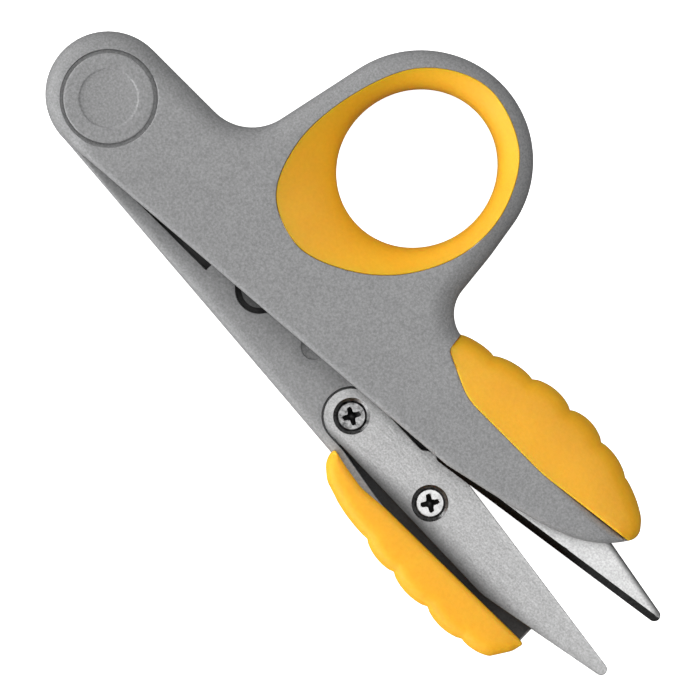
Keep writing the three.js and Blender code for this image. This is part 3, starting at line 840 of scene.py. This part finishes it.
def crown_line(corners):
    """Smooth line outside a grip's scallops, which the grip bends down to."""
    return rounded([(x, y, radius, PAD_CROWN) for x, y, radius in corners], closed=False)


RING_CROWN = crown_line([(97.5, 8.5, 0), (95, 11.5, 3), (86, 15.2, 20), (73, 15.8, 20), (57, 12.0, 0)])
LOWER_CROWN = crown_line([
    (56, -13, 0), (58, -16.2, 2), (66, -18.6, 12), (79, -19.8, 30), (93, -18.6, 4), (95.6, -14, 0),
])


def lower_grip_outline():
    return rounded([
        *scallops(LOWER_VALLEYS, LOWER_RISES, PAD_ROUNDING),
        (94.55, -14.7, 3, 1.5),
        (94.85, -12.95, 0.35, 0.7),
        *[(x, y, radius, 1.0) for x, y, radius in LOWER_SEAM[1:-1]],
        (LOWER_HEEL + 0.02, -12.35, 0.4, 0.7),
        (57.0, -14.4, 3, 1.6),
        (59.3, -16.3, 3, 2.0),
    ])


def lower_lever_outline():
    return rounded([
        (EYE_LEFT, lower_edge(EYE_LEFT), EYE_RADIUS, 0.8),
        (8, lower_edge(8), 0, 0.5),
        (26, lower_edge(26), 0, LOWER_OUTER),
        (LOWER_HEEL + FOOT, lower_edge(LOWER_HEEL + FOOT), 0, LOWER_OUTER),
        *[(x, y - FOOT, radius, SEAM) for x, y, radius in LOWER_SEAM[-2::-1]],
        (94.4, -6.6, 0, COVERED),
        (70, -3.3, 3, COVERED),
        (66, -2.4, 6, COVERED),
        (45, -1.6, 30, COVERED),
        (0.43, EYE_TOP, EYE_RADIUS, COVERED),
        (EYE_LEFT, EYE_TOP, EYE_RADIUS, LOWER_OUTER),
    ])


def channel_outline():
    """Groove between the lower blade and the grip, open at the front."""
    return rounded([
        (57.0, -11.55, 0, 0), (59.0, -11.9, 3, 0), (65.6, -13.05, 6, 0), (69.5, -13.5, 3, 0),
        (74, -14.2, 0, 0), (100, -14.2, 0, 0), (100, -6, 0, 0), (94, -9.7, 0, 0),
        (86, -11.9, 4, 0), (57.4, -11.1, 0, 0),
    ])


def sharp_outline(*corners):
    return rounded([(x, y, 0, 0) for x, y in corners])


def lower_leg_slot():
    return sharp_outline((1, -7.4), (26.4, -7.4), (26.4, -2.6), (4.5, -2.6), (1, -4.6))


def upper_leg_slot():
    return rounded([(0, 4.9, 0, 0), (16.5, 4.9, 0.5, 0), (16.5, 6.6, 0.5, 0), (0, 6.6, 0, 0)])


def corner_pocket():
    """Recess beside the lower blade's heel, along the edge that faces the ring lever."""
    return sharp_outline((58.4, -3.75), (66.1, -3.95), (67.3, -3), (73, -3), (73, 1), (58.4, 1))


# ---- blades ----


class BladePlace:
    """Where a blade lies, by the frame: its screws, its turn and the heights of its shear face and back.

    flip is 1 for the lower blade, whose shear face is its top, and -1 for the mirrored ring blade.
    """

    def __init__(self, prefix, flip):
        self.prefix, self.flip = prefix, flip
        self.body = f"{prefix}_side"
        self.rear = np.array(middle(f"{prefix}_blade_screw_rear")[:2])
        self.front = np.array(middle(f"{prefix}_blade_screw_front")[:2])
        self.back, self.face = (end(f"{prefix}_blade").z for end in (low, high)[::flip])
        run = self.front - self.rear
        self.turn = math.atan2(run[1], run[0]) - math.atan2(FRONT_SCREW[1] * flip, FRONT_SCREW[0])
        self.heel, tip = self.carry([HEEL, TIP])
        self.along = unit(tip - self.heel)
        self.inward = np.array([self.along[1], -self.along[0]]) * flip

    def carry(self, rows):
        """Moves points from the blade's own frame to the part's."""
        rows = np.array(rows, float)
        x, y = rows[:, 0], rows[:, 1] * self.flip
        cos, sin = math.cos(self.turn), math.sin(self.turn)
        moved = rows.copy()
        moved[:, 0] = self.rear[0] + x * cos - y * sin
        moved[:, 1] = self.rear[1] + x * sin + y * cos
        return moved

    def from_edge(self, points):
        """Distance of points from the line of the cutting edge, across the blade."""
        return (points - self.heel) @ self.inward

    def outline(self, grown=0.0):
        rows = offset(rounded(BLADE_CORNERS), grown)
        moved = self.carry(rows)
        return moved if self.flip > 0 else moved[::-1]


LOWER_PLACE = BladePlace("lower", 1)
RING_PLACE = BladePlace("ring", -1)
# the lower blade's steel has a lower tone than the ring blade's: painted shade for the ring lever's shade
# over the lower blade
LOWER_STEEL = blade_steel(LOWER_PLACE, 0.305)
RING_STEEL = blade_steel(RING_PLACE, 0.43, taper_shade=True)


def blade_sides(place):
    """Top and underside: the shear face has the countersinks, and the back has the ground bevel."""
    shear = Side(place.face, place.flip, 1.0)
    ground = Side(place.back, -place.flip, 1.0)

    def grind(points, depth):
        away = place.from_edge(points[:, :2])
        made = (THICKNESS - CUTTING_EDGE) * np.clip(1 - away / BEVEL, 0, 1)
        return np.maximum(depth, made)

    ground.cuts.append(grind)
    start = place.heel + place.inward * BEVEL
    crest = np.array([[*(start - place.along * 8), 0], [*(start + place.along * 50), 0]])
    crest = divided(crest, 0.8, closed=False)
    ground.lines.append(crest[inside(crest, offset(place.outline(), -0.05))])
    for centre in (place.rear, place.front):
        shear.loops.append(circle(*centre, COUNTERSINK))

        def sink(points, depth, centre=centre):
            radius = np.hypot(*(points[:, :2] - centre).T)
            share = np.clip((COUNTERSINK - radius) / (COUNTERSINK - SCREW_BORE), 0, 1)
            return np.maximum(depth, (THICKNESS - 0.1) * share)

        shear.cuts.append(sink)
    return (shear, ground)[::place.flip]


def blade(place, material):
    top, under = blade_sides(place)
    bores = [circle(*centre, SCREW_BORE, sides=48) for centre in (place.rear, place.front)]
    shape = plate(place.outline(), top, under, bores, spacing=1.2)
    node = f"{place.prefix}_blade"
    obj = piece(f"{node}_plate", shape, place.body, material, node, sharp=25)
    # the bevel faces get the near-black ground steel: real grinding lines with painted shade
    obj.data.materials.append(GROUND_PAINTED_SHADE)
    # painted shade: the countersink faces get the darker steel
    obj.data.materials.append(SINK_PAINTED_SHADE)
    for polygon in obj.data.polygons:
        centre = np.array(polygon.center[:2]) / MM
        if not 0.1 < abs(polygon.normal.z) < 0.95:
            continue
        if min(math.dist(centre, bore) for bore in (place.rear, place.front)) < COUNTERSINK:
            polygon.material_index = 2
        elif place.from_edge(centre) < BEVEL:
            polygon.material_index = 1
    return obj


# ---- pieces ----


def ring_lever():
    egg = with_column(offset(smooth_loop(EGG, 260), FIT), EGG_EDGE)
    bore = circle(0, 0, POST_RADIUS + FIT)
    top = Side(TOP, 1)
    under = Side(0, -1)
    top.pocket(circle(0, 0, CAP_RECESS, sides=120), TOP - CAP_DEPTH, lip=0.22)
    top.pocket(circle(0, 0, PIVOT_HEAD + 0.15), POST_TOP + 0.1, lip=0.1)
    under.pocket(sweep_outline(), RING_SHEAR, lip=0)
    under.pocket(circle(0, 0, SPRING_POCKET), SPRING_CEILING, lip=0, island=circle(0, 0, HUB))
    under.pocket(circle(0, 0, HUB_RECESS), RING_SHEAR + SHALLOW, lip=0)
    under.pocket(upper_leg_slot(), SPRING_CEILING, lip=0)
    under.pocket(RING_PLACE.outline(RING_SEAT_GAP), RING_SHEAR + THICKNESS, lip=0.1)
    for centre in (RING_PLACE.rear, RING_PLACE.front):
        under.pocket(circle(*centre, SCREW_HOLE, sides=32), RING_HOLE_END, lip=0)
    under.boss(circle(*PEG, PEG_RADIUS, sides=40), PEG_LOW)
    shape = plate(ring_lever_outline(), top, under, [egg, bore])
    return piece("ring_lever_moulding", shape, "ring_side", GREY, "ring_lever")


def hole_point(angle):
    local = angle - HOLE["turn"]
    radius = 1 / math.hypot(math.cos(local) / HOLE["long"], math.sin(local) / HOLE["short"])
    return HOLE["x"] + radius * math.cos(angle), HOLE["y"] + radius * math.sin(angle)


def ring_liner():
    """Rubber ring that dishes from the egg-shaped rim down to the finger hole, alike above and below."""
    count, steps = 256, 22
    rim = smooth_loop(EGG, count)
    inner = np.array([hole_point(math.atan2(y - HOLE["y"], x - HOLE["x"])) for x, y in rim])
    width = np.linalg.norm(inner - rim, axis=1)
    centre_z = TOP / 2
    half = centre_z - LINER_INSET
    section = []  # how far in each ring of vertices lies, as a share of the width, and its height
    for angle in np.radians([0, 25, 50, 75]):
        section.append((LINER_LIP * (1 - math.cos(angle)) / width, half - LINER_LIP * (1 - math.sin(angle))))
    start = LINER_LIP / width
    for k in range(1, steps + 1):
        mix = math.sin(math.pi / 2 * k / steps)
        drop = DISH_SLOPE * mix + (1 - DISH_SLOPE) * (1 - (1 - mix**4) ** 0.25)
        section.append((start + (1 - start) * mix, half * (1 - drop)))
    rings = []
    for way, part in ((1, section), (-1, section[-2::-1])):
        for share, height in part:
            rings.append(with_column(rim + (inner - rim) * share[:, None], centre_z + way * height))
    points = np.concatenate(rings)
    wall = RING_SHEAR + LINER_CUT_SLOPE * signed(points, sweep_outline())
    points[:, 2] = np.maximum(points[:, 2], np.minimum(RING_SHEAR, wall))
    shape = points, bridged(ring_numbers(len(rings), count), closed=True)
    return piece("ring_liner_moulding", shape, "ring_side", YELLOW, "ring_liner")


def ring_grip():
    top = Side(RING_PAD_TOP, 1)
    under = Side(PAD_LOW, -1)
    top.crown(RING_CROWN, 0.45)
    under.crown(RING_CROWN, 0.3)
    under.pocket(sweep_outline(), RING_SHEAR + GRIP_RISE, lip=0)
    shape = plate(ring_grip_outline(), top, under, spacing=1.0)
    return piece("ring_grip_moulding", shape, "ring_side", YELLOW, "ring_lever_grip")


def lower_lever():
    top = Side(LOWER_TOP, 1, 0.8)
    under = Side(0, -1, 0.8)
    top.pocket(LOWER_PLACE.outline(LOWER_SEAT_GAP), LOWER_TOP - THICKNESS, lip=0.08)
    top.pocket(channel_outline(), CHANNEL_FLOOR, lip=0.15)
    top.pocket(circle(0, 0, SPRING_POCKET), SPRING_FLOOR, lip=0.1, island=circle(0, 0, HUB))
    top.pocket(lower_leg_slot(), SPRING_FLOOR, lip=0.1)
    top.pocket(circle(0, 0, HUB_RECESS), LOWER_TOP - SHALLOW, lip=0)
    island = circle(*STOP_POCKET, STOP_ISLAND)
    top.pocket(circle(*STOP_POCKET, STOP_RADIUS), MOAT_FLOOR, lip=0.1, island=island)
    top.pocket(circle(*STOP_POCKET, STOP_ISLAND + 0.3), STOP_FLOOR, lip=0)
    top.pocket(corner_pocket(), CHANNEL_FLOOR, lip=0)
    top.pocket(circle(*EJECTOR_MARK, EJECTOR_RADIUS), LOWER_TOP - SHALLOW, lip=0.1)
    for centre in (LOWER_PLACE.rear, LOWER_PLACE.front):
        top.pocket(circle(*centre, SCREW_HOLE, sides=32), LOWER_HOLE_END, lip=0)
    under.pocket(circle(0, 0, BARREL_RECESS), BARREL_RECESS_DEPTH, lip=0.15)
    outline = lower_lever_outline()
    shape = plate(outline, top, under, [circle(0, 0, POST_RADIUS + 2 * FIT)])
    obj = piece("lower_lever_moulding", shape, "lower_side", GREY, "lower_lever")
    # painted shade: recess faces between DARK_FROM and DARK_TO get the darker grey
    obj.data.materials.append(GREY_PAINTED_SHADE)
    centres = np.array([polygon.center for polygon in obj.data.polygons]) / MM
    painted_shade_faces = (centres[:, 2] > DARK_FROM) & (centres[:, 2] < DARK_TO)
    for k in np.flatnonzero(painted_shade_faces & inside(centres[:, :2], offset(outline, -0.3))):
        obj.data.polygons[int(k)].material_index = 1
    return obj


def lower_grip():
    top = Side(LOWER_PAD_TOP, 1, 0.8)
    under = Side(PAD_LOW, -1, 0.7)
    top.crown(LOWER_CROWN, 0.15)
    under.crown(LOWER_CROWN, 0.1)
    shape = plate(lower_grip_outline(), top, under, spacing=1.0)
    return piece("lower_grip_moulding", shape, "lower_side", YELLOW, "lower_lever_grip")


def screw(place, end, centre, material, turn):
    """Countersunk Phillips screw in a blade's shear face."""
    face = place.face - place.flip * HEAD_SUNK
    cross = []
    for k in range(4):
        angle = turn + k * math.pi / 2
        cos, sin = math.cos(angle), math.sin(angle)
        tip = CROSS_HALF * 0.8
        for x, y in [(CROSS_HALF, -CROSS_HALF), (CROSS_REACH, -tip), (CROSS_REACH, tip)]:
            cross.append((centre[0] + x * cos - y * sin, centre[1] + x * sin + y * cos, 0.12, 0))
    slot = rounded(cross, step=0.2)
    head = Side(face, place.flip, 1.0)
    head.loops += [slot, offset(slot, -WALL)]
    head.lines += [offset(slot, t) for t in (0.02, 0.05)]

    def recess(points, depth):
        reach = signed(points, slot)
        floor = CROSS_DEPTH - CROSS_SLOPE * np.hypot(*(points[:, :2] - centre).T)
        lip = 0.06 * np.clip(1 + reach / 0.06, 0, 1) ** 2
        return np.maximum(depth, np.where(reach > WALL / 2, floor, lip))

    head.cuts.append(recess)
    shank = Side(face - place.flip * HEAD_RIM, -place.flip, 1.0)
    shank.loops += [circle(*centre, radius, sides=48) for radius in (SHANK_RADIUS, SHANK_RADIUS + WALL)]

    def taper(points, depth):
        radius = np.hypot(*(points[:, :2] - centre).T)
        share = np.clip((radius - SHANK_RADIUS) / (HEAD_RADIUS - SHANK_RADIUS), 0, 1)
        return np.where(radius < SHANK_RADIUS + WALL / 2, -SHANK_LENGTH, HEAD_CONE * share - HEAD_CONE)

    shank.cuts.append(taper)
    outline = circle(*centre, HEAD_RADIUS, HEAD_EDGE, 64)
    shape = plate(outline, *(head, shank)[::place.flip], spacing=0.35)
    node = f"{place.prefix}_blade_screw_{end}"
    obj = piece(f"{node}_turned", shape, place.body, material, node, sharp=30)
    # painted shade: the faces down in the cross get the near-black steel
    obj.data.materials.append(RECESS_PAINTED_SHADE)
    for polygon in obj.data.polygons:
        x, y, z = np.array(polygon.center) / MM
        sunk = (face - z) * place.flip > HEAD_EDGE
        if sunk and inside(np.array([[x, y]]), slot)[0] and polygon.normal.z * place.flip > -0.5:
            polygon.material_index = 1
    return obj


def pivot():
    """Barrel with its flat head below, the cap and the washers; the screw stays the CAD's."""
    barrel = fillet([
        (0, 0), (BARREL_HEAD, 0), (BARREL_HEAD, BARREL_HEAD_THICKNESS), (POST_RADIUS, BARREL_HEAD_THICKNESS),
        (POST_RADIUS, POST_TOP), (BARREL_BORE, POST_TOP), (BARREL_BORE, BARREL_BORE_FLOOR),
        (0, BARREL_BORE_FLOOR),
    ], 0.25)
    piece("pivot_barrel_turned", lathe(barrel), "ring_side", PIVOT_STEEL, "pivot_barrel", 30)
    base = TOP - CAP_DEPTH + 0.05
    face = TOP - CAP_SUNK
    dish = face - CAP_DISH_STEP
    cap = fillet([
        (0, base), (CAP_RADIUS, base), (CAP_RADIUS, face), (CAP_DISH, face), (CAP_DISH - CAP_DISH_STEP, dish),
        (0, dish),
    ], 0.3)
    piece("pivot_cap_moulded", lathe(cap, sides=128), "ring_side", GREY, "pivot_cap", 40)
    for name, outer in WASHERS.items():
        z0, z1 = low(name).z, high(name).z
        ring = lathe([(WASHER_BORE, z0), (outer, z0), (outer, z1), (WASHER_BORE, z1)], closed=True)
        piece(f"{name}_cut", ring, "ring_side", NYLON, name, 30)
    pivot_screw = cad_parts["pivot_screw"]
    pivot_screw.data.materials.clear()
    pivot_screw.data.materials.append(PIVOT_STEEL)


def spring():
    """Torsion spring: lower leg, coil round the hubs and upper leg, as one round wire."""
    steps = 40  # in a turn of the coil
    line = []
    for share in np.linspace(1, 0, 20, endpoint=False):
        along = LOWER_LEG * share
        line.append((along * math.cos(LEG_LEAN), along * math.sin(LEG_LEAN) - COIL_RADIUS, COIL_LOW))
    for share in np.linspace(0, 1, int(COIL_TURNS * steps) + 1):
        angle = -math.pi / 2 - 2 * math.pi * COIL_TURNS * share
        x, y = COIL_RADIUS * math.cos(angle), COIL_RADIUS * math.sin(angle)
        line.append((x, y, COIL_LOW + COIL_RISE * share))
    for k in range(1, 15):
        line.append((UPPER_LEG * k / 14, COIL_RADIUS, COIL_LOW + COIL_RISE))
    shape = tube(np.array(line), WIRE_RADIUS)
    return piece("return_spring_wound", shape, "ring_side", SPRING, "return_spring", 50)


def build():
    ring_lever()
    ring_liner()
    ring_grip()
    lower_lever()
    lower_grip()
    blade(LOWER_PLACE, LOWER_STEEL)
    blade(RING_PLACE, RING_STEEL)
    for place in (LOWER_PLACE, RING_PLACE):
        screw(place, "rear", place.rear, DULL, math.radians(61))
        screw(place, "front", place.front, BRIGHT, math.radians(57))
    pivot()
    spring()


# ---- floor, light and camera ----

VIEW_CENTRE = Vector((48.6, -1.04, 8.0)) * MM
VIEW_WIDTH = 98 * MM
VIEW_DISTANCE = 0.9
VIEW_TURN = math.radians(45)
FLOOR_REACH = 6.0
FLOOR_DROP = 0.00002  # keeps the floor clear of the faces that stand on it


def floor():
    mesh = bpy.data.meshes.new("floor")
    corners = [(x * FLOOR_REACH, y * FLOOR_REACH, 0) for x, y in ((-1, -1), (1, -1), (1, 1), (-1, 1))]
    mesh.from_pydata(corners, [], [(0, 1, 2, 3)])
    obj = bpy.data.objects.new("floor", mesh)
    obj.location.z = -FLOOR_DROP
    bpy.context.scene.collection.objects.link(obj)
    mesh.materials.append(floor_paper())
    obj.visible_diffuse = False
    obj.visible_glossy = False


def camera():
    data = bpy.data.cameras.new("camera")
    data.sensor_width = 36
    data.lens = data.sensor_width * VIEW_DISTANCE / VIEW_WIDTH
    data.clip_start, data.clip_end = 0.05, 20
    obj = bpy.data.objects.new("camera", data)
    obj.location = VIEW_CENTRE + Vector((0, 0, VIEW_DISTANCE))
    obj.rotation_euler = (0, 0, VIEW_TURN)
    bpy.context.scene.collection.objects.link(obj)
    bpy.context.scene.camera = obj


def softbox(name, place, size, energy):
    """Area light aimed at the object; place is to the camera's right, up and towards the camera."""
    data = bpy.data.lights.new(name, "AREA")
    data.shape = "RECTANGLE"
    data.size, data.size_y = size
    data.energy = energy
    obj = bpy.data.objects.new(name, data)
    turn = Matrix.Rotation(VIEW_TURN, 4, "Z")
    obj.location = VIEW_CENTRE + turn @ Vector(place)
    obj.rotation_euler = (VIEW_CENTRE - obj.location).to_track_quat("-Z", "Y").to_euler()
    bpy.context.scene.collection.objects.link(obj)


def lights():
    softbox("overhead", (0.25, 0.35, 1.5), (1.5, 1.5), 21)
    softbox("key", (-1.2, -0.2, 0.42), (1.0, 0.6), 11)
    softbox("rim_low", (-0.85, -0.8, 0.14), (0.9, 0.2), 8)
    softbox("rim_high", (-0.9, 0.85, 0.2), (0.9, 0.25), 7)
    world = bpy.data.worlds.new("world")
    bpy.context.scene.world = world
    world.use_nodes = True
    background = world.node_tree.nodes["Background"]
    background.inputs["Color"].default_value = (1, 1, 1, 1)
    background.inputs["Strength"].default_value = 0.15
    settings = bpy.context.scene.view_settings
    settings.view_transform = "Standard"
    settings.look = "None"


build()
floor()
camera()
lights()
